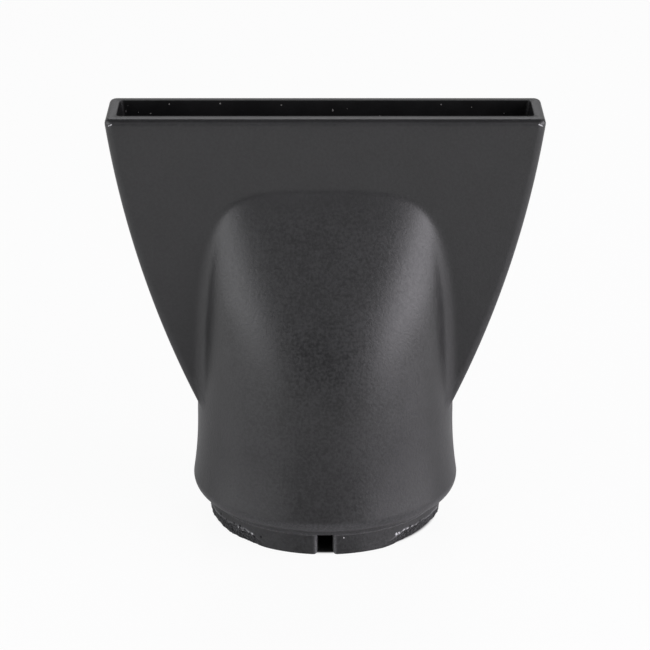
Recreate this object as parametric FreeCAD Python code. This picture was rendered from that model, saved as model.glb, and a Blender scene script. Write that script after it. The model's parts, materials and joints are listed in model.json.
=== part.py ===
"""Concentrator nozzle of a hair dryer: one moulded piece, round spigot below, flat slot mouth above.

Sizes are in millimetres. The origin is the middle of the spigot's foot, +Z points up to the mouth,
X runs along the slot and -Y is the front.
"""
import FreeCAD, Part
import math
import os

# Overall sizes
overall_height = 80.5
mouth_width = 81.0
mouth_depth = 15.2

# Spigot that pushes into the dryer's outlet
spigot_radius = 22.5
spigot_height = 4.0
spigot_wall = 1.5
spigot_lead_in = 0.15

# Flex notches in the spigot, one in front and one behind
notch_width = 2.9
notch_round = 0.6

# Turned barrel above the spigot: ledge, chamfer, bead and a flare that runs out into the plain barrel
ledge_width = 0.1
barrel_step = 2.0
chamfer_lean = 52.0
bead_proud = 0.95
bead_round = 2.7
flare_top = 20.0

# Dome: the barrel leans back into the blade's faces, draws in at its sides and squares up near the arch
lean_height = 35.0
arch_to_mouth = 13.8
flank_height = 24.0
flank_lean = 2.25
dome_squareness = 3.4
squaring_power = 1.8
dome_bury = 2.0

# Blade: the flat fan between the neck and the mouth, with bowed sides
neck_height = 25.1
side_bow_radius = 192.5
side_round = 1.6
blade_root = 6.0
arch_fillet = 3.0
rim_round = 1.25

# Walls and edges of the hollow duct
dome_wall = 2.4
blade_wall = 2.65
end_wall = 2.2
slot_corner = 0.8
slot_edge_round = 0.2

# Sizes that follow from those above
bore_radius = spigot_radius - spigot_wall
barrel_radius = spigot_radius + barrel_step
blade_half_depth = mouth_depth / 2
slot_half_depth = blade_half_depth - blade_wall
arch_height = overall_height - arch_to_mouth
dome_slope = (barrel_radius - blade_half_depth) / (arch_height - lean_height)
flank_slope = flank_lean / (arch_height - flank_height)

DOME_SECTIONS = 12
SECTION_CROWDING = 1.4
SECTION_POINTS = 32
SEAM_TURN = 90
NEAR = 0.001
UP = FreeCAD.Vector(0, 0, 1)


def front(x, z):
    """A point of the plane Y = 0, which holds the turned profile and the fan's outline."""
    return FreeCAD.Vector(x, 0, z)


def line(start, end):
    return Part.LineSegment(start, end).toShape()


def arc(start, middle, end):
    return Part.Arc(start, middle, end).toShape()


def on_circle(centre, radius, degrees):
    """The point of a circle in the plane Y = 0, at an angle from +X towards +Z."""
    angle = math.radians(degrees)
    return centre + front(radius * math.cos(angle), radius * math.sin(angle))


def seam_behind(shape):
    """Turns a round shape so that its seam lies at the back, where it crosses the arch squarely."""
    shape.rotate(FreeCAD.Vector(), UP, SEAM_TURN)
    return shape


def turned_barrel():
    """Spigot and barrel, turned from one profile that ends where the dome starts."""
    # The chamfer rises from the ledge and is tangent to the bead's round
    foot_radius = spigot_radius - ledge_width
    bead_x = barrel_radius + bead_proud - bead_round
    lean = math.radians(chamfer_lean)
    chamfer_rise = (bead_x + bead_round * math.cos(lean) - foot_radius) / math.tan(lean)
    bead_z = spigot_height + chamfer_rise + bead_round * math.sin(lean)
    bead = front(bead_x, bead_z)

    # The flare is a hollow arc, tangent to the bead's round and upright at its top
    rise = flare_top - bead_z
    step = bead_round - bead_proud
    flare_radius = (rise ** 2 + step ** 2 - bead_round ** 2) / (2 * bead_proud)
    flare = front(barrel_radius + flare_radius, flare_top)
    meet = math.degrees(math.atan2(rise, flare.x - bead_x))

    foot = [
        front(0, 0),
        front(spigot_radius - spigot_lead_in, 0),
        front(spigot_radius, spigot_lead_in),
        front(spigot_radius, spigot_height),
        front(foot_radius, spigot_height),
        on_circle(bead, bead_round, -chamfer_lean),
    ]
    bead_end = on_circle(bead, bead_round, meet)
    flare_end = front(barrel_radius, flare_top)
    axis_end = front(0, flare_top)
    edges = [line(a, b) for a, b in zip(foot, foot[1:])]
    edges.append(arc(foot[-1], on_circle(bead, bead_round, 0), bead_end))
    edges.append(arc(bead_end, on_circle(flare, flare_radius, 180 + meet / 2), flare_end))
    edges.append(line(flare_end, axis_end))
    edges.append(line(axis_end, foot[0]))
    return seam_behind(Part.Face(Part.Wire(edges)).revolve(FreeCAD.Vector(), UP, 360))


def lean_back(z, lean_from, slope):
    """How far the dome has leaned in at a height: an arc from upright, then the straight lean."""
    lean = math.atan(slope)
    blend = lean_from - flare_top
    blend_radius = blend / math.tan(lean / 2)
    if z < lean_from + blend * math.cos(lean):
        return blend_radius - math.sqrt(blend_radius ** 2 - (z - flare_top) ** 2)
    return (z - lean_from) * slope


def dome_section(z, half_width, half_depth):
    """A superellipse |x/a|^n + |y/b|^n = 1, with n of 2 at the barrel and more towards the arch."""
    rise = (z - flare_top) / (arch_height - flare_top)
    power = 2 + (dome_squareness - 2) * rise ** squaring_power
    points = []
    for i in range(SECTION_POINTS):
        turn = math.radians(SEAM_TURN) + 2 * math.pi * i / SECTION_POINTS
        x, y = math.cos(turn), math.sin(turn)
        reach = (abs(x) ** power + abs(y) ** power) ** (-1 / power)
        points.append(FreeCAD.Vector(half_width * x * reach, half_depth * y * reach, z))
    # Every section has the same parameters, so that the loft's surface stays light
    parameters = [i / SECTION_POINTS for i in range(SECTION_POINTS + 1)]
    curve = Part.BSplineCurve()
    curve.interpolate(Points=points, PeriodicFlag=True, Parameters=parameters)
    return Part.Wire(curve.toShape())


def dome(radius, lean_from, face_half_depth):
    """Loft of the sections, from a round foot to a cap that is buried behind the blade's face."""
    cap = lean_from + (radius - face_half_depth + dome_bury) / dome_slope
    sections = []
    for i in range(DOME_SECTIONS):
        z = flare_top + (cap - flare_top) * (i / (DOME_SECTIONS - 1)) ** SECTION_CROWDING
        half_width = radius - lean_back(z, flank_height, flank_slope)
        half_depth = radius - lean_back(z, lean_from, dome_slope)
        sections.append(dome_section(z, half_width, half_depth))
    return Part.makeLoft(sections, True, False)


def fan(inset, half_depth, corner, top):
    """Slab of the fan's outline, with rounded side edges, rooted inside the barrel below the neck."""
    # Each side is an arc through the neck and the mouth's corner
    neck = front(barrel_radius, neck_height)
    chord = front(mouth_width / 2, overall_height) - neck
    reach = math.sqrt(side_bow_radius ** 2 - (chord.Length / 2) ** 2)
    inward = front(-chord.z, chord.x) / chord.Length
    centre = neck + chord / 2 + inward * reach

    def side(z, sign):
        run = math.sqrt((side_bow_radius - inset) ** 2 - (z - centre.z) ** 2)
        return front(sign * (centre.x + run), z)

    root = neck_height - blade_root
    middle = (root + top) / 2
    outline = Part.Wire([
        line(side(root, -1), side(root, 1)),
        arc(side(root, 1), side(middle, 1), side(top, 1)),
        line(side(top, 1), side(top, -1)),
        arc(side(top, -1), side(middle, -1), side(root, -1)),
    ])
    face = Part.Face(outline)
    face.translate(FreeCAD.Vector(0, -half_depth, 0))
    slab = face.extrude(FreeCAD.Vector(0, 2 * half_depth, 0))
    side_edges = [edge for edge in slab.Edges if isinstance(edge.Curve, Part.Circle)]
    return slab.makeFillet(corner, side_edges)


def lies_on(edge, shape):
    """True where the middle of an edge is on the skin of a shape."""
    middle = edge.valueAt((edge.FirstParameter + edge.LastParameter) / 2)
    return shape.Shells[0].distToShape(Part.Vertex(middle))[0] < NEAR


def outside():
    """The nozzle's outer form: barrel, dome and blade in one, with the arch and the rim rounded."""
    core = turned_barrel().fuse([dome(barrel_radius, lean_height, blade_half_depth)], NEAR).Solids[0]
    blade = fan(0, blade_half_depth, side_round, overall_height)
    body = core.fuse([blade], NEAR).Solids[0]
    arch = [edge for edge in body.Edges if lies_on(edge, core) and lies_on(edge, blade)]
    body = body.makeFillet(arch_fillet, arch)
    rim = [edge for edge in body.Edges if min(v.Z for v in edge.Vertexes) > overall_height - NEAR]
    return body.makeFillet(rim_round, rim)


def duct():
    """The air's way through: a bore, an inner dome and a flat slot, each a wall inside the outer form."""
    bore = seam_behind(Part.makeCylinder(bore_radius, flare_top))
    lean_from = lean_height + (barrel_radius - bore_radius - dome_wall) / dome_slope
    core = bore.fuse([dome(bore_radius, lean_from, slot_half_depth)], NEAR).Solids[0]
    slot = fan(end_wall, slot_half_depth, slot_corner, overall_height)
    return core.fuse([slot], NEAR).Solids[0]


def notch(turn):
    """Cutter for one flex notch: straight sides that flare out in a round at the spigot's skin."""
    half = notch_width / 2
    skin = math.sqrt(spigot_radius ** 2 - (half + notch_round) ** 2)
    diagonal = notch_round * math.sqrt(0.5)

    def corner(x, y):
        return FreeCAD.Vector(x, -y, 0)

    def flank(sign):
        """Inner end, start of the round, its middle, its end, and a point clear of the spigot."""
        wide = half + notch_round
        return [
            corner(sign * half, bore_radius - spigot_wall),
            corner(sign * half, skin - notch_round),
            corner(sign * (wide - diagonal), skin - notch_round + diagonal),
            corner(sign * wide, skin),
            corner(sign * wide, spigot_radius + spigot_wall),
        ]

    left, right = flank(-1), flank(1)
    outline = Part.Wire([
        line(left[0], left[1]),
        arc(left[1], left[2], left[3]),
        line(left[3], left[4]),
        line(left[4], right[4]),
        line(right[4], right[3]),
        arc(right[3], right[2], right[1]),
        line(right[1], right[0]),
        line(right[0], left[0]),
    ])
    cutter = Part.Face(outline).extrude(UP * spigot_height)
    cutter.rotate(FreeCAD.Vector(), UP, turn)
    return cutter


def nozzle():
    body = outside().cut(duct())
    slot_edges = []
    for edge in body.Edges:
        top = min(v.Z for v in edge.Vertexes) > overall_height - NEAR
        inner = max(abs(v.Y) for v in edge.Vertexes) < slot_half_depth + NEAR
        if top and inner:
            slot_edges.append(edge)
    body = body.Solids[0].makeFillet(slot_edge_round, slot_edges)
    return body.cut([notch(0), notch(180)]).Solids[0]


os.makedirs("parts", exist_ok=True)
nozzle().exportStep("parts/nozzle.step")
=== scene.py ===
"""Concentrator nozzle of a hair dryer: its moulded skin, the dust in its mouth and a studio to show it in.

Lengths are metres in the frame's axes: +Z up from the spigot's foot to the mouth, X along the slot
and -Y the front.
"""
import json
import math
from typing import NamedTuple

import bpy
import numpy as np
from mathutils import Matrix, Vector


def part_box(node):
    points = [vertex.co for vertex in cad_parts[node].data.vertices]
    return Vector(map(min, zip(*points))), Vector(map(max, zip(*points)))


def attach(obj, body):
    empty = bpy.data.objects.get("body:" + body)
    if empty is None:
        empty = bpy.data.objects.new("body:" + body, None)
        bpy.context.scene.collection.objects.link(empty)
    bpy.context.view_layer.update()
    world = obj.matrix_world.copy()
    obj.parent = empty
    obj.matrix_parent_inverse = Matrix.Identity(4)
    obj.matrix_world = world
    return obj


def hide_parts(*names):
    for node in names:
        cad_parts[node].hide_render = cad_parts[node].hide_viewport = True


bl_info = {
    "name": "Concentrator Nozzle",
    "version": (1, 0, 0),
    "blender": (4, 5, 0),
    "location": "View3D > Sidebar > Nozzle",
    "description": "Builds the moulded skin of a nozzle, the dust in its mouth and a studio round it",
    "category": "Object",
}

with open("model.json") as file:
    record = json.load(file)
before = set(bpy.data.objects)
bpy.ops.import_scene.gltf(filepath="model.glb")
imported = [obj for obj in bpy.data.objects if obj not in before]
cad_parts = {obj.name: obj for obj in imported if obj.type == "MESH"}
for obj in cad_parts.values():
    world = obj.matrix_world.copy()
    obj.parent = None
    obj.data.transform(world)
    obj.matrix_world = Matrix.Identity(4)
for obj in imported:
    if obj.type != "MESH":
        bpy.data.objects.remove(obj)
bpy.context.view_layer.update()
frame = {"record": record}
NODE_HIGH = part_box("nozzle")[1]
MM = 0.001
SPIGOT_PIN = next(mount for mount in frame["record"]["mounts"] if mount["name"] == "spigot")
SPIGOT_RADIUS = SPIGOT_PIN["dims"]["r_mm"] * MM

# How finely the skin's grid is divided
SIDE_COLUMNS = 9
CORNER_COLUMNS = 14
FACE_COLUMNS = 110
LIP_COLUMNS = 6
NOTCH_COLUMNS = 6
SPIGOT_ROWS = 21
BEAD_ROWS = 16
FLARE_ROWS = 10
NECK_ROWS = 22
DOME_ROWS = 29
ARCH_ROWS = 20
BLADE_ROWS = 7
RIM_ROWS = 7
EDGE_ROWS = 5
SLOT_ROWS = 5
DUCT_ROWS = 18
BORE_ROWS = 3
HALVINGS = 32
DUST_RINGS = 5
DUST_COLUMNS = 8
FLOOR_DIVISIONS = 5

# Where the shell's rows change their spacing: over the neck, under the arch and over it
OVER_NECK = 6.0 * MM
UNDER_ARCH = 7.0 * MM
OVER_ARCH = 3.0 * MM

# Limits of the formulas, and the share of a notch's half width where its inner columns start
SHARP = math.radians(40)
TINY = 1e-9
NEARLY_ONE = 0.9999
INSIDE_NOTCH = 0.995

# Waves along the spigot's ring, each a length in millimetres, a phase and a weight
EDGE_WAVES = ((0.31, 0.0, 0.4), (0.73, 1.3, 0.6), (2.9, 0.4, 0.9))
DEPTH_WAVES = ((2.1, 0.0, 0.22), (0.47, 0.0, 0.12))
PALE_WAVES = ((1.7, 0.6, 1.0), (0.39, 0.0, 0.5))

# How the worn strips and the bead's painted light start, deepen and fade, as shares
FADED_HEIGHT = 0.35
WEAR_START = 0.12
WEAR_POWER = 0.8
LEAST_PALE = 0.35
LEFT_PALE = 0.55
PALE_BAND = (0.1, 0.9)
BEAD_FADE = 0.7
TEAR_SEED = 11

# Lumps of dust: latitude of their flat ends, how uneven they are and how far they are stretched
DUST_POLE = 1.2
SWELL_ROUND = 0.3
SWELL_UP = 0.2
DUST_STRETCH = (0.7, 1.5)
DUST_SEED = 5

# Bands of a noise over which a finish changes
NOISE_MEAN = 0.5
CLOUD_BAND = (0.35, 0.65)
STIPPLE_BAND = (0.45, 0.6)
# Band of the noise over which the duct's painted shade is mottled
DUCT_SHADE_BAND = (0.3, 0.7)
CRUMB_BAND = (0.84, 0.96)

# Weights and shares in the finishes
FACE_GRAIN = 0.3
FULL_GRAIN = 0.75
CLOUD_SHARE = 0.3
# Least share of the whitened burr and painted light where a worn strip is not stippled
LEAST_BURR_AND_LIGHT = 0.4
TEAR_HEIGHT = 1.5
# How much paler the duct's painted shade grows in its mottle
DUCT_SHADE_PALENESS = 1.5
TORN_DULLNESS = 0.7
SPOT_WEIGHT = 0.8
DUST_ROUGHNESS = 0.85
FIBRE_SHADE = 0.97

# Studio: white, the painted shadow mid-paper in shares of the spigot's radius, the backdrop's edges, the
# sensor
WHITE = (1.0, 1.0, 1.0, 1.0)
PAINTED_SHADOW_BAND = (0.94, 0.985)
BACKDROP_SIDES = (-0.15, 0.3)
BACKDROP_TOP = (0.35, 0.75)
SENSOR_WIDTH = 36.0

# Pale flecks on the spigot, and from 36.8 to 53.4 degrees a painted glint with its streak:
# degrees from the front towards +X, height and size in millimetres
FLECKS_AND_GLINTS = (
    (9.0, 3.42, 0.24),
    (36.8, 2.18, 0.50),
    (38.4, 2.26, 0.42),
    (41.5, 2.42, 0.44),
    (44.2, 2.41, 0.52),
    (47.4, 2.40, 0.46),
    (50.9, 2.29, 0.50),
    (53.4, 2.22, 0.40),
    (-38.0, 2.05, 0.46),
    (-40.5, 2.17, 0.42),
    (-44.5, 2.08, 0.48),
    (-47.4, 2.32, 0.40),
)

# Dark pits in the spigot, given in the same way
PITS = (
    (-62.5, 2.78, 0.60),
    (-57.0, 2.50, 0.44),
    (-50.4, 2.73, 0.50),
    (-45.9, 2.73, 0.56),
    (-42.6, 2.30, 0.44),
    (-36.7, 1.56, 0.56),
    (-32.6, 2.01, 0.44),
    (38.3, 1.17, 0.60),
    (45.6, 2.78, 0.50),
    (53.3, 2.73, 0.56),
    (58.4, 2.10, 0.44),
)

# Painted glints at the mouth's front corners: x, y, z and size of spots in millimetres, on both sides alike
PAINTED_CORNER_GLINTS = (
    (39.67, -7.40, 79.22, 0.24),
    (39.45, -7.46, 79.34, 0.24),
    (39.23, -7.48, 79.46, 0.24),
    (39.01, -7.46, 79.58, 0.24),
)

# Specks on the slot's back wall: x and height in millimetres, and a factor on the speck size
DUST = (
    (-37.2, 78.4, 1.0),
    (-36.8, 79.5, 0.6),
    (-34.9, 78.2, 0.5),
    (-32.6, 78.0, 0.7),
    (-29.1, 79.8, 0.9),
    (-19.6, 79.9, 0.8),
    (-8.2, 79.6, 0.8),
    (1.4, 78.6, 1.1),
    (4.1, 78.9, 0.5),
    (10.2, 77.4, 0.8),
    (21.6, 79.7, 1.0),
    (27.3, 79.2, 0.5),
    (33.4, 78.0, 0.7),
)


def length(name, description, default):
    """A property that holds a length in metres."""
    return bpy.props.FloatProperty(
        name=name, description=description, default=default, min=0.0, precision=5, unit="LENGTH")


def share(name, description, default):
    """A property from 0 to 1."""
    return bpy.props.FloatProperty(
        name=name, description=description, default=default, min=0.0, max=1.0, subtype="FACTOR")


def colour(name, description, default):
    """A property that holds a linear colour."""
    return bpy.props.FloatVectorProperty(
        name=name, description=description, default=default, min=0.0, max=1.0, size=3, subtype="COLOR")


def angle(name, description, degrees):
    """A property that holds an angle."""
    return bpy.props.FloatProperty(
        name=name, description=description, default=math.radians(degrees), subtype="ANGLE", unit="ROTATION")


def number(name, description, default):
    """A property that holds a plain number."""
    return bpy.props.FloatProperty(name=name, description=description, default=default, min=0.0)


class NozzleSizes(bpy.types.PropertyGroup):
    """Sizes of the moulding. All but the notches' foot and the slot's border are those of the solid."""

    height: length("Height", "From the spigot's foot to the rim of the mouth", NODE_HIGH.z)
    mouth_width: length("Mouth width", "Along the slot, between the blade's sides at the rim", 81.0 * MM)
    mouth_depth: length("Mouth depth", "Between the blade's front and back faces", 15.2 * MM)
    spigot_radius: length("Spigot radius", "The ring that pushes into the dryer", SPIGOT_RADIUS)
    spigot_height: length("Spigot height", "From the foot to the ledge under the barrel", 4.0 * MM)
    spigot_wall: length("Spigot wall", "Thickness of the ring", 1.5 * MM)
    lead_in: length("Lead-in", "Small chamfer at the foot", 0.15 * MM)
    notch_width: length("Notch width", "Flex notch in the front and back of the ring", 2.9 * MM)
    notch_round: length("Notch round", "Round of the notch's outer edges", 0.6 * MM)
    notch_foot: length("Notch foot", "Round of the notch's lower corners", 0.8 * MM)
    ledge_width: length("Ledge width", "Step at the top of the spigot", 0.1 * MM)
    barrel_radius: length("Barrel radius", "The plain barrel under the dome", 24.5 * MM)
    chamfer_lean: angle("Chamfer lean", "Of the chamfer over the ledge, from upright", 52.0)
    bead_round: length("Bead round", "Round of the barrel's lower edge", 2.7 * MM)
    flare_top: length("Flare top", "Height where the bead's flare has run out", 20.0 * MM)
    lean_height: length("Lean height", "Height that the dome's straight lean starts from", 35.0 * MM)
    arch_height: length("Arch height", "Height where the dome meets the blade's face", 66.7 * MM)
    flank_height: length("Flank height", "Height that the lean of the dome's sides starts from", 24.0 * MM)
    flank_lean: length("Flank lean", "How far each side of the dome has drawn in at the arch", 2.25 * MM)
    dome_squareness: number("Dome squareness", "Power of its superellipse at the arch, 2 being round", 3.4)
    squaring: number("Squaring", "Power of the height by which the dome squares up, more being later", 1.8)
    neck_height: length("Neck height", "Height where the blade's sides leave the barrel", 25.1 * MM)
    side_bow: length("Side bow", "Radius of the blade's bowed sides", 192.5 * MM)
    side_round: length("Side round", "Round of the blade's long edges", 1.6 * MM)
    arch_fillet: length("Arch fillet", "Hollow round between dome and blade", 3.0 * MM)
    rim_round: length("Rim round", "Outer round of the mouth's rim", 1.25 * MM)
    dome_wall: length("Dome wall", "Thickness of the dome", 2.4 * MM)
    blade_wall: length("Blade wall", "Thickness of the blade's faces", 2.65 * MM)
    end_wall: length("End wall", "Thickness of the blade's sides", 2.2 * MM)
    slot_corner: length("Slot corner", "Round of the slot's inner corners", 0.8 * MM)
    slot_edge: length("Slot edge", "Inner round of the mouth's rim", 0.2 * MM)
    # Over this border on the front and back, the rim takes the duct's painted shade
    slot_border: length("Slot border", "The rim's inner border, where the duct's finish starts", 0.4 * MM)


class NozzleWear(bpy.types.PropertyGroup):
    """Worn strips on both sides of the spigot's lower edge, painted highlights and light on its edges, ledge
    and bead, the rim's border in painted shade, and the dust.
    """

    reach: angle("Strip reach", "How far a worn strip goes round the ring, each way from its side", 62.0)
    fade: angle("Strip fade", "How much of the strip's end fades out", 16.0)
    edge_height: length("Strip height", "Height of the worn strip's upper edge", 2.5 * MM)
    depth: length("Strip depth", "How deep the ring is worn at its foot", 0.5 * MM)
    deeper: length("Deeper patch", "How much deeper one patch on the right is worn", 0.6 * MM)
    patch_place: angle("Patch place", "Of that patch, from the right side towards the back", -36.0)
    patch_reach: angle("Patch reach", "How far that patch goes each way", 20.0)
    ragged: length("Raggedness", "How far the strip's upper edge strays", 0.13 * MM)
    roughness: length("Tearing", "Height of the torn grain in the strip", 0.05 * MM)
    # Width of the band of whitened burr and painted highlight along a strip's edge and the spigot's top edge
    burr_and_painted_light: length("Burr", "Width of the pale burr along the strip's upper edge", 0.17 * MM)
    # Painted highlight on the spigot's top edge, the notches' edges and over the ledge, and how far over the
    # ledge it goes
    edge_highlight: share("Worn edge", "How pale the spigot's top edge and the notches' edges are rubbed", 0.3)
    ledge_light_height: length("Ledge rub", "Height over the ledge where its rubbed edge ends", 1.6 * MM)
    # Painted light on the chamfer and the bead's lower edge, and how far over the ledge it goes
    bead_painted_light: share("Bead edge", "How pale the chamfer and the bead's lower edge are rubbed", 0.11)
    bead_light_height: length("Bead rub", "Height over the ledge where the rubbed bead ends", 4.2 * MM)
    # Painted shade on the rim's inner border, from the duct's darker, duller finish
    border_shade: share("Dull border", "Share of the duct's finish on the front and back border", 0.65)
    speck: length("Speck size", "Radius of a speck of dust", 0.14 * MM)


class NozzleFinish(bpy.types.PropertyGroup):
    """Colours and grain of the moulded plastic with its painted shade, highlights and glints, of its worn
    strips and of the dust.
    """

    plastic: colour("Plastic", "The moulding's black", (0.0080, 0.0080, 0.0083))
    bloom: colour("Bloom", "Where the plastic is a little greyer", (0.0220, 0.0220, 0.0227))
    # Painted shade: darker colour of the duct and of the rim's inner border, also taken by the dark pits
    duct: colour("Duct", "The dull inside of the duct and of the dark pits", (0.006, 0.006, 0.0062))
    torn: colour("Torn plastic", "The worn strips", (0.008, 0.008, 0.0083))
    scuffed: colour("Scuffed plastic", "The pale grain of the worn strips", (0.070, 0.070, 0.073))
    # Pale colour of the whitened burr and of the painted highlights and light on the spigot's edges, ledge
    # and bead
    burr_and_painted_light: colour("Burr", "The whitened burr along a worn strip", (0.36, 0.36, 0.37))
    # Palest colour: of pale flecks, and of painted glints on the spigot and at the mouth's front corners
    fleck_and_glint: colour("Fleck", "The palest flecks", (0.55, 0.55, 0.56))
    dust: colour("Dust", "Specks in the mouth", (0.12, 0.116, 0.112))
    fluff: colour("Fluff", "The paler side of the specks", (0.22, 0.213, 0.206))
    gloss: share("Roughness", "Of the plastic as moulded", 0.40)
    gloss_change: share("Roughness change", "How much the roughness wanders", 0.10)
    duct_gloss: share("Duct roughness", "Of the dull duct", 0.35)
    # The duct's weak shine is part of its painted shade
    duct_shine: share("Duct shine", "How strongly the dull duct mirrors, 0.5 being plain plastic", 0.10)
    torn_gloss: share("Torn roughness", "Of the worn strips", 0.62)
    mottle: length("Mottle size", "Of the faint clouds in the plastic's gloss", 7.0 * MM)
    grain: length("Grain size", "Of the mould's spark-eroded grain", 0.55 * MM)
    grain_depth: length("Grain depth", "Of the mould's grain", 0.040 * MM)
    tear: length("Tear size", "Of the torn grain in the worn strips", 0.38 * MM)
    speckle: share("Speckle", "How much of the grain shows in the plastic's gloss", 0.4)
    crumb: length("Crumb size", "Of the crumbs in pale flecks and dark pits", 0.16 * MM)


class NozzleStudio(bpy.types.PropertyGroup):
    """Floor, soft lamps, surroundings and camera."""

    floor: colour("Floor", "Pale paper", (0.86, 0.86, 0.86))
    floor_satin: share("Floor roughness", "Of the satin paper", 0.2)
    fibre: length("Fibre size", "Of the paper's fibres", 0.8 * MM)
    # Painted shadow: the paper under the nozzle stays dark
    painted_shadow: colour("Covered floor", "The paper under the nozzle, which stays dark", (0.03, 0.03, 0.03))
    floor_size: length("Floor size", "From the middle of the floor to its edge", 4.0)
    floor_white: share("Floor white", "How much of the floor that the camera sees is plain white", 0.93)
    floor_gloss: share("Floor in gloss", "How much of the far floor is plain white in the gloss", 0.9)
    floor_near: length("Near floor", "Up to this distance the gloss shows the floor as it is lit", 60.0 * MM)
    floor_far: length("Far floor", "From this distance on the gloss shows the far floor", 220.0 * MM)
    tint: colour("Lamp tint", "Of the soft lamps", (0.97, 0.97, 1.0))
    right_tint: colour("Right tint", "Of the soft lamp on the right", (0.97, 0.94, 1.0))
    lamp_distance: length("Lamp distance", "From the nozzle to each soft lamp", 0.75)
    right_light: number("Right lamp", "Radiance of the soft lamp on the right", 5.8)
    left_light: number("Left lamp", "Radiance of the soft lamp on the left", 3.4)
    front_light: number("Front lamp", "Radiance of the wide, dim lamp over the camera", 0.6)
    back_light: number("Back lamp", "Radiance of the soft lamp above and behind", 2.2)
    room: share("Room", "Brightness of the room in front and above", 0.07)
    backdrop: share("Backdrop", "Brightness of the backdrop behind", 0.45)
    camera_place: bpy.props.FloatVectorProperty(
        name="Camera place", description="Where the camera stands", subtype="TRANSLATION", unit="LENGTH",
        default=(-0.04 * MM, -480.704 * MM, 223.041 * MM))
    camera_aim: bpy.props.FloatVectorProperty(
        name="Camera aim", description="What the camera looks at", subtype="TRANSLATION", unit="LENGTH",
        default=(-0.04 * MM, 0.0, 37.55 * MM))
    lens: number("Lens", "Focal length in millimetres for a sensor 36 mm wide", 149.86)


class Rays(NamedTuple):
    """The skin's columns: where each leaves the core rectangle, in shares of its half sides, and its way."""

    share_x: np.ndarray
    share_y: np.ndarray
    way_x: np.ndarray
    way_y: np.ndarray


def side_arc(s):
    """Centre (x, z) of the arc that bows a side: it goes through the neck and through the mouth's corner."""
    neck = np.array([s.barrel_radius, s.neck_height])
    chord = np.array([s.mouth_width / 2, s.height]) - neck
    span = np.hypot(*chord)
    inward = np.array([-chord[1], chord[0]]) / span
    return neck + chord / 2 + inward * math.sqrt(s.side_bow ** 2 - (span / 2) ** 2)


def half_width(s, z, inset=0.0):
    """Half the blade's width at a height: centre x + sqrt((bow - inset)^2 - (z - centre z)^2)."""
    x, up = side_arc(s)
    return x + np.sqrt((s.side_bow - inset) ** 2 - (z - up) ** 2)


def blade_distance(s, x, y, z, inset, half_depth, corner):
    """Distance from a bowed slab with rounded long edges, and the way outwards.

    With u the distance outside the side arc and v that outside the face, both grown by the corner's
    radius, the distance is the length of (max(u, 0), max(v, 0)), or the larger of u and v where both are
    negative, less the radius.
    """
    middle, up = side_arc(s)
    along, rise = np.abs(x) - middle, z - up
    reach = np.hypot(along, rise)
    side = reach - (s.side_bow - inset) + corner
    face = np.abs(y) - half_depth + corner
    side_out, face_out = np.maximum(side, 0), np.maximum(face, 0)
    out = np.hypot(side_out, face_out)
    outside = out > 0
    to_side = np.where(outside, side_out / np.maximum(out, TINY), side > face)
    to_face = np.where(outside, face_out / np.maximum(out, TINY), side <= face)
    way = to_side * along / reach * np.sign(x), to_face * np.sign(y), to_side * rise / reach
    return out + np.minimum(np.maximum(side, face), 0) - corner, way


def dome_slope(s):
    """How far the dome's front and back lean in for each unit of height."""
    return (s.barrel_radius - s.mouth_depth / 2) / (s.arch_height - s.lean_height)


def flank_slope(s):
    """How far the dome's sides lean in for each unit of height."""
    return s.flank_lean / (s.arch_height - s.flank_height)


def lean_back(s, z, lean_from, slope):
    """How far a wall has leaned in at a height, and its slope there: an arc from upright, then straight."""
    lean = math.atan(slope)
    blend = lean_from - s.flare_top
    radius = blend / math.tan(lean / 2)
    rise = np.clip(z - s.flare_top, 0, radius * math.sin(lean))
    drop = np.sqrt(radius ** 2 - rise ** 2)
    straight = z > lean_from + blend * math.cos(lean)
    return np.where(straight, (z - lean_from) * slope, radius - drop), np.where(straight, slope, rise / drop)


def dome_distance(s, x, y, z, radius, lean_from):
    """Distance from the dome, and the way outwards.

    The dome's level is L = (|x/a|^n + |y/b|^n)^(1/n), with a and b growing smaller and n larger with
    height, and the distance is (L - 1) over the length of L's gradient. A level cap ends the dome behind
    the blade's face.
    """
    back, tilt = lean_back(s, z, lean_from, dome_slope(s))
    side, side_tilt = lean_back(s, z, s.flank_height, flank_slope(s))
    face = s.mouth_depth / 2
    width = radius - side
    depth = np.maximum(radius - back, face / 2)
    rise = np.maximum(z - s.flare_top, 0) / (s.arch_height - s.flare_top)
    power = 2 + (s.dome_squareness - 2) * rise ** s.squaring
    a, b = np.abs(x) / width, np.abs(y) / depth
    level = (a ** power + b ** power) ** (1 / power)
    rate = level ** (1 - power)
    to_x = rate * a ** (power - 1) / width * np.sign(x)
    to_y = rate * b ** (power - 1) / depth * np.sign(y)
    to_z = rate * (a ** power * side_tilt / width + b ** power * tilt / depth)
    steep = np.sqrt(to_x ** 2 + to_y ** 2 + to_z ** 2)
    cap = lean_from + (radius - face / 2) / dome_slope(s)
    return np.maximum((level - 1) / steep, z - cap), (to_x / steep, to_y / steep, to_z / steep)


def rolled_union(first, second, radius):
    """Distance from two bodies joined by the hollow that a rolling ball leaves between them.

    The ball's centre is one radius outside both. With p and q the distances less the radius and c the cosine
    between the ways outwards, a point is sqrt((p^2 - 2cpq + q^2) / (1 - c^2)) from it.
    """
    (near, way), (other, other_way) = first, second
    c = np.clip(sum(a * b for a, b in zip(way, other_way)), -NEARLY_ONE, NEARLY_ONE)
    p, q = near - radius, other - radius
    to_ball = np.sqrt(np.maximum(p * p - 2 * c * p * q + q * q, 0) / (1 - c * c))
    in_hollow = (p < c * q) & (q < c * p)
    return np.where(in_hollow, radius - to_ball, np.minimum(near, other))


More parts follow.
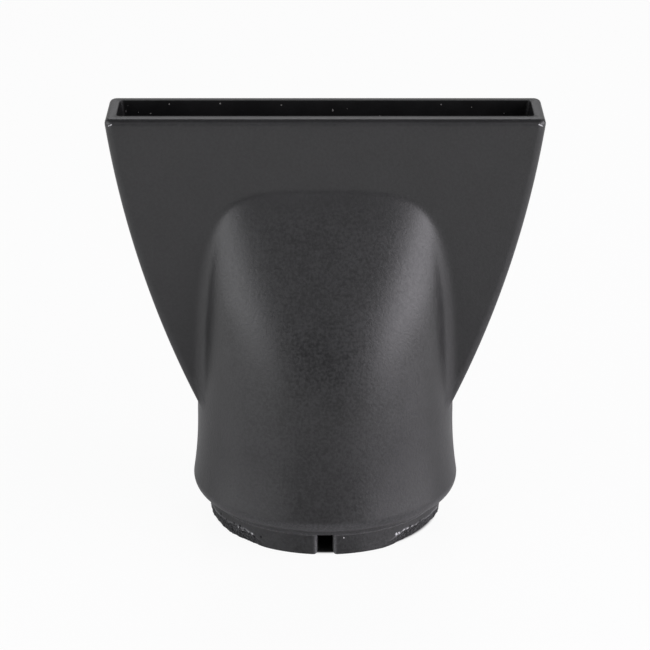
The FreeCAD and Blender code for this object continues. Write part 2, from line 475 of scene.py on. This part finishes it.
def outer_body(s, x, y, z):
    """Distance from the nozzle's outside: the blade and the dome with the arch's fillet between them."""
    blade = blade_distance(s, x, y, z, 0.0, s.mouth_depth / 2, s.side_round)
    dome = dome_distance(s, x, y, z, s.barrel_radius, s.lean_height)
    return rolled_union(blade, dome, s.arch_fillet)


def duct_body(s, x, y, z):
    """Distance from the hollow inside: the slot and the inner dome, each one wall inside the outer form."""
    bore = s.spigot_radius - s.spigot_wall
    lean_from = s.lean_height + (s.barrel_radius - bore - s.dome_wall) / dome_slope(s)
    slot, _ = blade_distance(s, x, y, z, s.end_wall, s.mouth_depth / 2 - s.blade_wall, s.slot_corner)
    dome, _ = dome_distance(s, x, y, z, bore, lean_from)
    return np.minimum(slot, dome)


def skin_columns(s, core_width):
    """Columns round the nozzle: square to the core rectangle's sides, and fanned out round its corners.

    One quarter runs from the middle of a side to the middle of a face, evenly round the spigot, with
    columns on the notch's edge and on the round of its lip. Mirroring it makes a half, and turning that
    makes the whole.
    """
    edge = s.notch_width / 2 / core_width
    lip = (s.notch_width / 2 + s.notch_round) / core_width
    lip_turn = np.sin(np.linspace(0, math.pi / 2, LIP_COLUMNS))
    ring = s.spigot_radius / core_width
    round_ring = np.linspace(math.asin(1 / ring), math.asin(lip / ring), FACE_COLUMNS)
    side = np.linspace(0, 1, SIDE_COLUMNS)
    turn = np.linspace(0, math.pi / 2, CORNER_COLUMNS)[1:-1]
    face = np.concatenate([
        ring * np.sin(round_ring[:-1]),
        lip + (edge - lip) * lip_turn,
        np.linspace(INSIDE_NOTCH * edge, 0, NOTCH_COLUMNS),
    ])
    quarter = np.array([
        np.concatenate([np.ones_like(side), np.ones_like(turn), face]),
        np.concatenate([side, np.ones_like(turn), np.ones_like(face)]),
        np.concatenate([np.ones_like(side), np.cos(turn), np.zeros_like(face)]),
        np.concatenate([np.zeros_like(side), np.sin(turn), np.ones_like(face)]),
    ])
    mirror = np.array([[-1], [1], [-1], [1]])
    half = np.concatenate([quarter[:, :-1], (quarter * mirror)[:, :0:-1]], axis=1)
    return Rays(*np.concatenate([half, -half], axis=1))


def rows_at(rays, core_width, core_depth, reach, z):
    """Points of each column at its reach from the core rectangle, one row for each height."""
    x = rays.share_x * core_width + rays.way_x * reach
    y = rays.share_y * core_depth + rays.way_y * reach
    return np.stack([x, y, np.broadcast_to(z, x.shape)], axis=-1)


def turned_rows(rays, core_width, core_depth, radius, z):
    """Rows on circles round the axis: each column's reach solves |start + reach * way| = radius."""
    x, y = rays.share_x * core_width, rays.share_y * core_depth
    along = x * rays.way_x + y * rays.way_y
    reach = np.sqrt(along ** 2 - x ** 2 - y ** 2 + radius[:, None] ** 2) - along
    return rows_at(rays, core_width, core_depth, reach, z[:, None])


def moulded_rows(s, rays, body, core_width, core_depth, z):
    """Rows on the skin of a body: halving finds each column's reach where its distance is zero."""
    core_width, z = core_width[:, None], z[:, None]
    low = np.zeros((len(z), len(rays.share_x)))
    high = np.full_like(low, s.barrel_radius)
    for _ in range(HALVINGS):
        reach = (low + high) / 2
        inside = body(s, *np.moveaxis(rows_at(rays, core_width, core_depth, reach, z), -1, 0)) < 0
        low, high = np.where(inside, reach, low), np.where(inside, high, reach)
    return rows_at(rays, core_width, core_depth, high, z)


def barrel_profile(s):
    """Radii and heights of the turned barrel: groove, chamfer, the bead's round and the flare above it.

    The chamfer is tangent to the bead's round, and the flare is a hollow arc that leaves it tangent and
    ends upright.
    """
    groove = s.spigot_radius - s.ledge_width
    bead_out = NODE_HIGH.y
    bead_x = bead_out - s.bead_round
    chamfer_x = bead_x + s.bead_round * math.cos(s.chamfer_lean)
    rise = (chamfer_x - groove) / math.tan(s.chamfer_lean)
    bead_z = s.spigot_height + rise + s.bead_round * math.sin(s.chamfer_lean)
    up = s.flare_top - bead_z
    step = s.barrel_radius - bead_x
    flare = (up ** 2 + step ** 2 - s.bead_round ** 2) / (2 * (bead_out - s.barrel_radius))
    meet = math.atan2(up, step + flare)
    bead = np.linspace(-s.chamfer_lean, meet, BEAD_ROWS)
    hollow = np.linspace(math.pi + meet, math.pi, FLARE_ROWS)[1:]
    middle = (groove + chamfer_x) / 2
    radius = np.concatenate([
        [groove, middle],
        bead_x + s.bead_round * np.cos(bead),
        s.barrel_radius + flare + flare * np.cos(hollow),
    ])
    z = np.concatenate([
        [s.spigot_height, s.spigot_height + rise / 2],
        bead_z + s.bead_round * np.sin(bead),
        s.flare_top + flare * np.sin(hollow),
    ])
    return radius, z


def heights(*stops):
    """Heights from stop to stop, without the first. A stop is a height and the steps that lead to it."""
    runs = [np.linspace(low, high, steps + 1)[1:] for (low, _), (high, steps) in zip(stops, stops[1:])]
    return np.concatenate(runs)


def cut_notches(s, rows, core_width, rays):
    """Opens the flex notches in the spigot's rows, which run from the bore round the foot to the ledge.

    Inside a notch the rows lie flat under the ledge, from the bore to the inner end of the notch's lip.
    Beside it the ring's outside falls away in a quarter round, and its foot rises in another: a height z
    is lifted by (r - sqrt(r^2 - past^2)) * (1 - z / spigot height).
    """
    half = s.notch_width / 2
    x = np.where(rays.way_x == 0, np.abs(rays.share_x) * core_width, np.inf)
    lip = half + s.notch_round
    skin = math.sqrt(s.spigot_radius ** 2 - lip ** 2)
    fall = np.sqrt(np.maximum(s.notch_round ** 2 - np.clip(lip - x, 0, s.notch_round) ** 2, 0))
    most = np.where(x < lip, skin - s.notch_round + fall, np.inf)
    rows[..., 1] = np.sign(rows[..., 1]) * np.minimum(np.abs(rows[..., 1]), most)
    past = np.clip(half + s.notch_foot - x, 0, s.notch_foot)
    lift = s.notch_foot - np.sqrt(s.notch_foot ** 2 - past ** 2)
    rows[..., 2] += lift * (1 - rows[..., 2] / s.spigot_height)

    inside = x < half - TINY
    lip_end = math.hypot(skin - s.notch_round, half)
    radius = np.linspace(s.spigot_radius - s.spigot_wall, lip_end, len(rows))[:, None]
    flat_y = np.sqrt(radius ** 2 - np.where(inside, x, 0) ** 2) * np.sign(rays.way_y)
    rows[..., 1] = np.where(inside, flat_y, rows[..., 1])
    rows[..., 2] = np.where(inside, s.spigot_height, rows[..., 2])
    return rows


def ease(low, high, value):
    """Smooth step from 0 at low to 1 at high: t^2 (3 - 2t)."""
    t = np.clip((value - low) / (high - low), 0, 1)
    return t * t * (3 - 2 * t)


def ripple(t, waves):
    """Sum of sine waves at an arc length t in millimetres: weight * sin(t / length + phase)."""
    return sum(weight * np.sin(t / pitch + phase) for pitch, phase, weight in waves)


def wear_spigot(s, w, rows):
    """Wears the strips into rows of the ring's outside, and gives shares of wear and of burr with painted
    highlight at each point.

    Round the ring, at an arc length t from +X, a strip's upper edge stands at h = height + ragged * ripple.
    Below it the ring is worn by depth * (1 - z / h)^0.8, with seeded torn grain. The burr, whitened and with
    a painted highlight, is a bell curve over the height, centred on the edge, and so is the painted
    highlight on a notch's edge over the width. The spigot's top edge gets a painted highlight too.
    """
    x, y, z = np.moveaxis(rows, -1, 0)
    from_side = np.arctan2(y, np.abs(x))
    t = s.spigot_radius * np.arctan2(y, x) / MM
    strip = 1 - ease(w.reach - w.fade, w.reach, np.abs(from_side))
    edge = w.edge_height * (FADED_HEIGHT + (1 - FADED_HEIGHT) * strip) + w.ragged * ripple(t, EDGE_WAVES)
    patch = np.exp(-((from_side - w.patch_place) / w.patch_reach) ** 2) * (x > 0)
    depth = w.depth * (1 + ripple(t, DEPTH_WAVES)) + w.deeper * patch
    below = np.clip(1 - z / edge, 0, 1)
    worn = strip * ease(0.0, WEAR_START, below)
    torn = np.random.default_rng(TEAR_SEED).normal(0, w.roughness, worn.shape) * worn
    inset = strip * depth * below ** WEAR_POWER + torn
    rows[..., :2] *= (1 - inset / np.hypot(x, y))[..., None]
    patchy = ease(*PALE_BAND, ripple(t, PALE_WAVES)) * np.where(x > 0, 1.0, LEFT_PALE)
    pale = LEAST_PALE + (1 - LEAST_PALE) * patchy
    # Whitened burr along a strip's upper edge, which also paints that edge's highlight
    burr_and_painted_light = strip * pale * np.exp(-((z - edge) / w.burr_and_painted_light) ** 2)
    # Painted highlight on the notches' edges and on the spigot's top edge
    lip = s.notch_round / 2
    notch_edge = np.exp(-((np.abs(x) - s.notch_width / 2 - lip) / lip) ** 2)
    painted_edge_light = np.maximum(ease(s.spigot_height - w.burr_and_painted_light, s.spigot_height, z), notch_edge)
    return worn, np.maximum(burr_and_painted_light, w.edge_highlight * painted_edge_light)


def nozzle_grid(s, w):
    """The whole skin as one grid that is closed both ways.

    It runs up the outside, over the rim, down the duct and round the foot. With it come shares at each of
    its points: of wear, of burr with painted light, and of the duct's finish, which paints shade in the duct
    and on the rim's inner border. The burr's share also holds a painted highlight over the ledge and painted
    light on the chamfer and the bead's lower edge, each eased out over its height.
    """
    face, slot_face = s.mouth_depth / 2, s.mouth_depth / 2 - s.blade_wall
    core_depth, slot_depth = face - s.side_round, slot_face - s.slot_corner
    core_width = half_width(s, s.flare_top) - s.side_round
    slot_width = half_width(s, s.flare_top, s.end_wall) - s.slot_corner
    bore = s.spigot_radius - s.spigot_wall
    rays = skin_columns(s, core_width)

    barrel = turned_rows(rays, core_width, core_depth, *barrel_profile(s))

    z = heights(
        (s.flare_top, 0),
        (s.neck_height + OVER_NECK, NECK_ROWS),
        (s.arch_height - UNDER_ARCH, DOME_ROWS),
        (s.arch_height + OVER_ARCH, ARCH_ROWS),
        (s.height - s.rim_round, BLADE_ROWS),
    )
    shell = moulded_rows(s, rays, outer_body, half_width(s, z) - s.side_round, core_depth, z)

    turn = np.linspace(0, math.pi / 2, RIM_ROWS)[1:, None]
    z = s.height - s.rim_round * (1 - np.sin(turn))
    reach = s.side_round - s.rim_round * (1 - np.cos(turn))
    rim = rows_at(rays, half_width(s, z) - s.side_round, core_depth, reach, z)

    turn = np.linspace(0, math.pi / 2, EDGE_ROWS)[[0, *range(EDGE_ROWS)], None]
    z = s.height - s.slot_edge * (1 - np.cos(turn))
    reach = s.slot_corner + s.slot_edge * (1 - np.sin(turn))
    reach[0] += s.slot_border
    edge = rows_at(rays, half_width(s, z, s.end_wall) - s.slot_corner, slot_depth, reach, z)

    z = heights((s.height - s.slot_edge, 0), (s.arch_height, SLOT_ROWS), (s.flare_top, DUCT_ROWS))
    duct = moulded_rows(s, rays, duct_body, half_width(s, z, s.end_wall) - s.slot_corner, slot_depth, z)

    z = heights((s.flare_top, 0), (s.spigot_height, BORE_ROWS))
    bored = turned_rows(rays, slot_width, slot_depth, np.full_like(z, bore), z)

    wall_z = np.linspace(s.lead_in, s.spigot_height, SPIGOT_ROWS)
    ring_r = np.concatenate([[s.spigot_radius - s.lead_in], np.full_like(wall_z, s.spigot_radius)])
    ring = turned_rows(rays, core_width, core_depth, ring_r, np.concatenate([[0.0], wall_z]))
    foot = ring[:1] * bore / ring_r[0]
    worn, burr_and_painted_light = wear_spigot(s, w, ring)
    spigot = cut_notches(s, np.concatenate([bored[-1:], foot, ring]), core_width, rays)
    grid = np.concatenate([barrel, shell, rim, edge, duct, bored[:-1], spigot])
    unworn = np.zeros((len(grid) - len(ring), grid.shape[1]))
    # Painted shade: the duct's finish also covers the rim's inner border on the front and back faces
    at_ends = np.concatenate([[0.0], np.linspace(0, 1, EDGE_ROWS)])[:, None]
    at_faces = np.concatenate([[w.border_shade], np.ones(EDGE_ROWS)])[:, None]
    inner = np.concatenate([
        np.zeros((len(barrel) + len(shell) + len(rim), grid.shape[1])),
        np.maximum(at_ends, at_faces * np.abs(rays.way_y)),
        np.ones((len(duct) + len(bored), grid.shape[1])),
        np.zeros((len(foot) + len(ring), grid.shape[1])),
    ])
    painted_edge_light = unworn.copy()
    # Painted highlight over the ledge and painted light on the chamfer and the bead's lower edge
    over_ledge = barrel[..., 2] - s.spigot_height
    ledge_highlight = w.edge_highlight * (1 - ease(0, w.ledge_light_height, over_ledge))
    bead_light = w.bead_painted_light * (1 - ease(BEAD_FADE * w.bead_light_height, w.bead_light_height, over_ledge))
    painted_edge_light[:len(barrel)] = ledge_highlight + bead_light
    shares = {
        "worn": np.concatenate([unworn, worn]),
        "burr_and_painted_light": np.concatenate([painted_edge_light, burr_and_painted_light]),
        "inner": inner,
    }
    return grid, shares


def closed_grid(name, grid, shares):
    """Mesh of a grid of points that closes on itself both ways, with faces that point outwards.

    Each of the shares, one number for each point, becomes an attribute that materials read by its name.
    """
    index = np.arange(grid.shape[0] * grid.shape[1]).reshape(grid.shape[:2])
    along = np.roll(index, -1, axis=1)
    quads = np.stack([index, along, np.roll(along, -1, axis=0), np.roll(index, -1, axis=0)], axis=-1)
    mesh = bpy.data.meshes.new(name)
    mesh.from_pydata(grid.reshape(-1, 3), [], quads.reshape(-1, 4))
    mesh.shade_smooth()
    mesh.set_sharp_from_angle(angle=SHARP)
    for attribute, values in shares.items():
        mesh.attributes.new(attribute, "FLOAT", "POINT").data.foreach_set("value", values.ravel())
    return mesh


def dust_lumps(s, w):
    """Specks of dust on the slot's back wall, each a small uneven lump, as one mesh.

    A lump's point at latitude v and longitude u is size * (cos v cos u, cos v sin u, sin v) *
    (1 + 0.3 sin(2u + a) + 0.2 sin(3v + b)), stretched along each axis, with a, b and the stretch drawn for
    each speck. Its ends are closed by flat faces.
    """
    draw = np.random.default_rng(DUST_SEED)
    count = len(DUST)
    places = np.array([[x * MM, s.mouth_depth / 2 - s.blade_wall, z * MM] for x, z, _ in DUST])
    size = w.speck * np.array([part for _, _, part in DUST])[:, None, None]
    a, b = draw.uniform(0, 2 * math.pi, (2, count, 1, 1))
    stretch = draw.uniform(*DUST_STRETCH, (count, 1, 1, 3))
    v = np.linspace(-DUST_POLE, DUST_POLE, DUST_RINGS)[:, None]
    u = np.linspace(0, 2 * math.pi, DUST_COLUMNS, endpoint=False)
    ball = np.stack(np.broadcast_arrays(np.cos(v) * np.cos(u), np.cos(v) * np.sin(u), np.sin(v)), axis=-1)
    swell = 1 + SWELL_ROUND * np.sin(2 * u + a) + SWELL_UP * np.sin(3 * v + b)
    lumps = places[:, None, None] + ball * stretch * (size * swell)[..., None]
    index = np.arange(lumps.size // 3).reshape(lumps.shape[:3])
    along = np.roll(index, -1, axis=2)
    quads = np.stack([index[:, :-1], along[:, :-1], along[:, 1:], index[:, 1:]], axis=-1).reshape(-1, 4)
    ends = np.concatenate([index[:, 0, ::-1], index[:, -1]])
    mesh = bpy.data.meshes.new("mouth_dust")
    mesh.from_pydata(lumps.reshape(-1, 3), [], quads.tolist() + ends.tolist())
    mesh.shade_smooth()
    return mesh


class Shade:
    """A socket of a shader tree. Sums, differences and products of sockets and numbers add Math nodes."""

    def __init__(self, tree, socket=None):
        self.tree = tree
        self.socket = socket

    def node(self, kind, settings, sockets, output=0):
        """Adds a node, settings first and then its sockets' values or links, and gives an output back."""
        node = self.tree.nodes.new(kind)
        for name, value in settings.items():
            setattr(node, name, value)
        for name, value in sockets.items():
            if isinstance(value, Shade):
                self.tree.links.new(value.socket, node.inputs[name])
            else:
                node.inputs[name].default_value = value
        return Shade(self.tree, node.outputs[output]) if node.outputs else None

    def math(self, operation, *values):
        return self.node("ShaderNodeMath", {"operation": operation}, dict(enumerate(values)))

    def __add__(self, other):
        return self.math("ADD", self, other)

    def __sub__(self, other):
        return self.math("SUBTRACT", self, other)

    def __rsub__(self, other):
        return self.math("SUBTRACT", other, self)

    def __mul__(self, other):
        return self.math("MULTIPLY", self, other)

    __radd__, __rmul__ = __add__, __mul__

    def ease(self, low, high):
        """Smooth step from 0 at low to 1 at high."""
        settings = {"interpolation_type": "SMOOTHSTEP"}
        return self.node("ShaderNodeMapRange", settings, {"Value": self, "From Min": low, "From Max": high})

    def between(self, first, second):
        """A colour between two, by this share."""
        return self.node("ShaderNodeMix", {"data_type": "RGBA"}, {0: self, 6: first, 7: second}, 2)

    def noise(self, size, detail, rough=0.5):
        """Noise with features of a size, on the piece's own coordinates."""
        place = self.node("ShaderNodeTexCoord", {}, {}, "Object")
        sockets = {"Vector": place, "Scale": 1 / size, "Detail": detail, "Roughness": rough}
        return self.node("ShaderNodeTexNoise", {}, sockets)

    def attribute(self, name):
        return self.node("ShaderNodeAttribute", {"attribute_name": name}, {}, "Fac")


def opaque(rgb):
    return (*rgb, 1.0)


def bare_material(name):
    """A new material with an empty tree, and the means to add to that tree."""
    material = bpy.data.materials.new(name)
    material.use_nodes = True
    material.node_tree.nodes.clear()
    return material, Shade(material.node_tree)


def ring_place(s, degrees, height):
    """A point of the spigot's skin, by degrees from the front towards +X and height in millimetres."""
    turn = math.radians(degrees)
    return s.spigot_radius * math.sin(turn), -s.spigot_radius * math.cos(turn), height * MM


def spots(tree, crumbs, places):
    """Share of the crumbs that lie in some spots, each dense at its middle and bare at its size."""
    place = tree.node("ShaderNodeTexCoord", {}, {}, "Object")
    total = 0.0
    for centre, size in places:
        reach = tree.node("ShaderNodeVectorMath", {"operation": "DISTANCE"}, {0: place, 1: centre}, "Value")
        total = tree.math("MAXIMUM", 1 - reach * (1 / size), total)
    return (crumbs + SPOT_WEIGHT * total).ease(*CRUMB_BAND)


def moulded_satin(f, s):
    """Satin black plastic: fine mould grain, faint clouds in gloss and colour, a dull duct with painted
    shade, and worn strips.

    The grain shows more on the dome and the barrel than on the blade's faces. The worn strips are torn and
    stippled, with a whitened burr and painted highlights on the spigot's edges and painted light on the
    bead.
    Pale flecks with a painted glint, painted glints at the mouth's front corners and dark pits have places
    of their own.
    """
    material, tree = bare_material("moulded_satin")
    cloud = tree.noise(f.mottle, detail=3.0, rough=0.6)
    grain = tree.noise(f.grain, detail=3.0, rough=0.6)
    tear = tree.noise(f.tear, detail=3.0, rough=0.75)
    crumbs = tree.noise(f.crumb, detail=1.0)
    worn, burr_and_painted_light, inner = tree.attribute("worn"), tree.attribute("burr_and_painted_light"), tree.attribute("inner")
    place = tree.node("ShaderNodeTexCoord", {}, {}, "Object")
    depth = tree.math("ABSOLUTE", tree.node("ShaderNodeSeparateXYZ", {}, {0: place}, "Y"))
    domed = FACE_GRAIN + (1 - FACE_GRAIN) * depth.ease(s.mouth_depth / 2, FULL_GRAIN * s.mouth_depth)
    tone = NOISE_MEAN + domed * (CLOUD_SHARE * cloud + (1 - CLOUD_SHARE) * grain - NOISE_MEAN)
    moulded = tone.ease(*CLOUD_BAND).between(opaque(f.plastic), opaque(f.bloom))

    stipple = tear.ease(*STIPPLE_BAND)
    torn = stipple.between(opaque(f.torn), opaque(f.scuffed))
    # Whitened burr together with the painted highlights and light on the spigot's edges, ledge and bead
    whitened_or_painted_light = burr_and_painted_light * (LEAST_BURR_AND_LIGHT + (1 - LEAST_BURR_AND_LIGHT) * stipple)
    worn_with_painted_light = whitened_or_painted_light.between(worn.between(moulded, torn), opaque(f.burr_and_painted_light))
    pits = [(ring_place(s, turn, height), wide * MM) for turn, height, wide in PITS]
    # Pale flecks, and on the right a painted glint with its streak
    flecks_and_glints = [(ring_place(s, turn, height), wide * MM) for turn, height, wide in FLECKS_AND_GLINTS]
    # Painted glints at the mouth's front corners
    corners = [
        ((side * x * MM, y * MM, z * MM), wide * MM)
        for side in (-1, 1) for x, y, z, wide in PAINTED_CORNER_GLINTS
    ]
    flecked_and_glinting = spots(tree, crumbs, flecks_and_glints + corners).between(worn_with_painted_light, opaque(f.fleck_and_glint))

    speckle = f.speckle * (domed * (grain - NOISE_MEAN))
    satin = f.gloss + f.gloss_change * (cloud - NOISE_MEAN) + speckle
    gloss = satin + worn * (f.torn_gloss - satin)
    height = grain + TEAR_HEIGHT * (worn * tear)
    bump = tree.node("ShaderNodeBump", {}, {"Strength": 1.0, "Distance": f.grain_depth, "Height": height})
    outside = tree.node("ShaderNodeBsdfPrincipled", {}, {
        "Base Color": flecked_and_glinting, "Roughness": gloss, "Normal": bump})
    # Painted shade: a darker, mottled colour and a weaker shine for the duct and the rim's inner border
    paler_duct_shade = [DUCT_SHADE_PALENESS * part for part in f.duct]
    duct_shade_tone = cloud.ease(*DUCT_SHADE_BAND).between(opaque(f.duct), opaque(paler_duct_shade))
    duct = tree.node("ShaderNodeBsdfPrincipled", {}, {
        "Base Color": duct_shade_tone, "Roughness": f.duct_gloss, "Specular IOR Level": f.duct_shine, "Normal": bump})
    # The dark pits and dull torn patches also take the duct's finish, beside the duct's painted shade
    torn_out = tree.math("MAXIMUM", spots(tree, crumbs, pits), TORN_DULLNESS * (worn * (1 - stipple)))
    dull_or_painted_shade = tree.math("MAXIMUM", inner, torn_out)
    skin = tree.node("ShaderNodeMixShader", {}, {0: dull_or_painted_shade, 1: outside, 2: duct})
    tree.node("ShaderNodeOutputMaterial", {}, {"Surface": skin})
    return material


def grey_dust(f):
    """House dust: matt, patchy grey."""
    material, tree = bare_material("grey_dust")
    patch = tree.noise(f.grain, detail=3.0, rough=0.7)
    tint = patch.ease(*CLOUD_BAND).between(opaque(f.dust), opaque(f.fluff))
    rough = DUST_ROUGHNESS + (1 - DUST_ROUGHNESS) * patch
    lump = tree.node("ShaderNodeBsdfPrincipled", {}, {"Base Color": tint, "Roughness": rough})
    tree.node("ShaderNodeOutputMaterial", {}, {"Surface": lump})
    return material


def ray(tree, kind):
    """1 for rays of a kind, such as those from the camera, and 0 for others."""
    return tree.node("ShaderNodeLightPath", {}, {}, f"Is {kind} Ray")


def pale_paper(studio, ring):
    """Floor of satin paper that is seen near white, takes a soft shadow and has a painted shadow inside the
    spigot's ring.

    The plastic's gloss shows it as it is lit near the nozzle, and near white far off.
    """
    material, tree = bare_material("pale_paper")
    fibre = tree.noise(studio.fibre, detail=3.0)
    place = tree.node("ShaderNodeTexCoord", {}, {}, "Object")
    distance = tree.node("ShaderNodeVectorMath", {"operation": "LENGTH"}, {0: place}, "Value")
    # Painted shadow: inside the spigot's ring the paper is dark and takes no white
    outside = distance.ease(*[ring * part for part in PAINTED_SHADOW_BAND])
    far = distance.ease(studio.floor_near, studio.floor_far)
    seen = tree.math("MAXIMUM", ray(tree, "Camera"), ray(tree, "Transmission"))
    white_share = outside * (studio.floor_white * seen + studio.floor_gloss * (far * ray(tree, "Glossy")))
    sheet = fibre.between(opaque([FIBRE_SHADE * part for part in studio.floor]), opaque(studio.floor))
    tint = outside.between(opaque(studio.painted_shadow), sheet)
    paper = tree.node("ShaderNodeBsdfPrincipled", {}, {"Base Color": tint, "Roughness": studio.floor_satin})
    white = tree.node("ShaderNodeEmission", {}, {"Color": WHITE, "Strength": 1.0})
    mixed = tree.node("ShaderNodeMixShader", {}, {0: white_share, 1: paper, 2: white})
    tree.node("ShaderNodeOutputMaterial", {}, {"Surface": mixed})
    return material


def studio_world(studio):
    """White to the camera; for the light on the nozzle, a dim room with a pale backdrop behind, low down."""
    world = bpy.data.worlds.new("studio")
    world.use_nodes = True
    world.node_tree.nodes.clear()
    tree = Shade(world.node_tree)
    way = tree.node("ShaderNodeTexCoord", {}, {}, "Generated")
    behind = tree.node("ShaderNodeSeparateXYZ", {}, {0: way}, "Y").ease(*BACKDROP_SIDES)
    low = 1 - tree.node("ShaderNodeSeparateXYZ", {}, {0: way}, "Z").ease(*BACKDROP_TOP)
    room = studio.room + (studio.backdrop - studio.room) * (behind * low)
    strength = room + ray(tree, "Camera") * (1 - room)
    light = tree.node("ShaderNodeBackground", {}, {"Color": WHITE, "Strength": strength})
    tree.node("ShaderNodeOutputWorld", {}, {"Surface": light})
    return world


class SoftLamp(NamedTuple):
    """Where a soft lamp hangs, in degrees from the front towards +X and upwards, and its size in metres."""

    round_degrees: float
    up_degrees: float
    width: float
    height: float


RIGHT_LAMP = SoftLamp(67.0, 17.5, 0.96, 0.46)
LEFT_LAMP = SoftLamp(-67.0, 16.5, 0.96, 0.40)
FRONT_LAMP = SoftLamp(0.0, 37.0, 1.26, 0.33)
BACK_LAMP = SoftLamp(180.0, 44.0, 0.70, 0.35)


def add_soft_lamp(studio, name, tint, radiance, soft):
    """Hangs a soft lamp that faces the nozzle.

    Its power is radiance * pi * area, so that its size does not change how bright it looks.
    """
    data = bpy.data.lights.new(name, "AREA")
    data.shape = "RECTANGLE"
    data.color = tint
    data.size, data.size_y = soft.width, soft.height
    data.energy = radiance * math.pi * soft.width * soft.height
    lamp = bpy.data.objects.new(name, data)
    bpy.context.scene.collection.objects.link(lamp)
    turn, rise = math.radians(soft.round_degrees), math.radians(soft.up_degrees)
    way = Vector((math.sin(turn) * math.cos(rise), -math.cos(turn) * math.cos(rise), math.sin(rise)))
    lamp.location = Vector(studio.camera_aim) + way * studio.lamp_distance
    lamp.rotation_mode = "QUATERNION"
    lamp.rotation_quaternion = way.to_track_quat("Z", "Y")
    lamp.visible_camera = False


def add_camera(studio):
    data = bpy.data.cameras.new("camera")
    data.lens = studio.lens
    data.sensor_width = SENSOR_WIDTH
    camera = bpy.data.objects.new("camera", data)
    bpy.context.scene.collection.objects.link(camera)
    camera.location = studio.camera_place
    camera.rotation_mode = "QUATERNION"
    camera.rotation_quaternion = (Vector(studio.camera_aim) - camera.location).to_track_quat("-Z", "Y")
    bpy.context.scene.camera = camera


def paper_sheet(size):
    """Level square sheet through the origin: (u, v) over [-size, size]^2, at height 0."""
    across = np.linspace(-size, size, FLOOR_DIVISIONS)
    x, y = np.meshgrid(across, across)
    points = np.stack([x, y, np.zeros_like(x)], axis=-1).reshape(-1, 3)
    index = np.arange(len(points)).reshape(x.shape)
    quads = np.stack([index[:-1, :-1], index[:-1, 1:], index[1:, 1:], index[1:, :-1]], axis=-1)
    mesh = bpy.data.meshes.new("paper_floor")
    mesh.from_pydata(points, [], quads.reshape(-1, 4))
    return mesh


def add_piece(name, mesh, material):
    """An object at the origin with its place in its mesh, riding on the part's one body."""
    piece = bpy.data.objects.new(name, mesh)
    bpy.context.scene.collection.objects.link(piece)
    mesh.materials.append(material)
    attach(piece, "root")
    return piece


class NOZZLE_OT_skin(bpy.types.Operator):
    """Build the moulded skin of the nozzle in place of the plain solid"""

    bl_idname = "nozzle.skin"
    bl_label = "Nozzle Skin"

    def execute(self, context):
        scene = context.scene
        grid, shares = nozzle_grid(scene.nozzle_sizes, scene.nozzle_wear)
        mesh = closed_grid("nozzle_skin", grid, shares)
        skin = add_piece("nozzle_skin", mesh, moulded_satin(scene.nozzle_finish, scene.nozzle_sizes))
        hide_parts("nozzle")
        return {"FINISHED"}


class NOZZLE_OT_dust(bpy.types.Operator):
    """Scatter the specks of dust inside the slot mouth"""

    bl_idname = "nozzle.dust"
    bl_label = "Mouth Dust"

    def execute(self, context):
        scene = context.scene
        mesh = dust_lumps(scene.nozzle_sizes, scene.nozzle_wear)
        add_piece("mouth_dust", mesh, grey_dust(scene.nozzle_finish))
        return {"FINISHED"}


class NOZZLE_OT_stage(bpy.types.Operator):
    """Lay the floor and set up the lamps and the camera"""

    bl_idname = "nozzle.stage"
    bl_label = "Studio Stage"

    def execute(self, context):
        scene = context.scene
        studio = scene.nozzle_studio
        scene.view_settings.view_transform = "Standard"
        scene.world = studio_world(studio)
        floor = bpy.data.objects.new("paper_floor", paper_sheet(studio.floor_size))
        scene.collection.objects.link(floor)
        floor.data.materials.append(pale_paper(studio, scene.nozzle_sizes.spigot_radius))
        add_soft_lamp(studio, "right_lamp", studio.right_tint, studio.right_light, RIGHT_LAMP)
        add_soft_lamp(studio, "left_lamp", studio.tint, studio.left_light, LEFT_LAMP)
        add_soft_lamp(studio, "front_lamp", studio.tint, studio.front_light, FRONT_LAMP)
        add_soft_lamp(studio, "back_lamp", studio.tint, studio.back_light, BACK_LAMP)
        add_camera(studio)
        return {"FINISHED"}


class NOZZLE_PT_builder(bpy.types.Panel):
    """Lists the pieces of the nozzle and the sizes and colours behind them"""

    bl_idname = "NOZZLE_PT_builder"
    bl_label = "Concentrator Nozzle"
    bl_space_type = "VIEW_3D"
    bl_region_type = "UI"
    bl_category = "Nozzle"

    def draw(self, context):
        layout = self.layout
        for operator in OPERATORS:
            layout.operator(operator.bl_idname)
        for group in GROUPS:
            column = layout.box().column()
            settings = getattr(context.scene, group)
            for name in settings.bl_rna.properties.keys():
                if name not in ("rna_type", "name"):
                    column.prop(settings, name)


GROUPS = {
    "nozzle_sizes": NozzleSizes,
    "nozzle_wear": NozzleWear,
    "nozzle_finish": NozzleFinish,
    "nozzle_studio": NozzleStudio,
}
OPERATORS = (NOZZLE_OT_skin, NOZZLE_OT_dust, NOZZLE_OT_stage)
CLASSES = (*GROUPS.values(), *OPERATORS, NOZZLE_PT_builder)


def register():
    for cls in CLASSES:
        bpy.utils.register_class(cls)
    for name, group in GROUPS.items():
        setattr(bpy.types.Scene, name, bpy.props.PointerProperty(type=group))


def unregister():
    for name in GROUPS:
        delattr(bpy.types.Scene, name)
    for cls in reversed(CLASSES):
        bpy.utils.unregister_class(cls)


def main():
    register()
    bpy.ops.nozzle.skin()
    bpy.ops.nozzle.dust()
    bpy.ops.nozzle.stage()


if __name__ == "__main__":
    main()
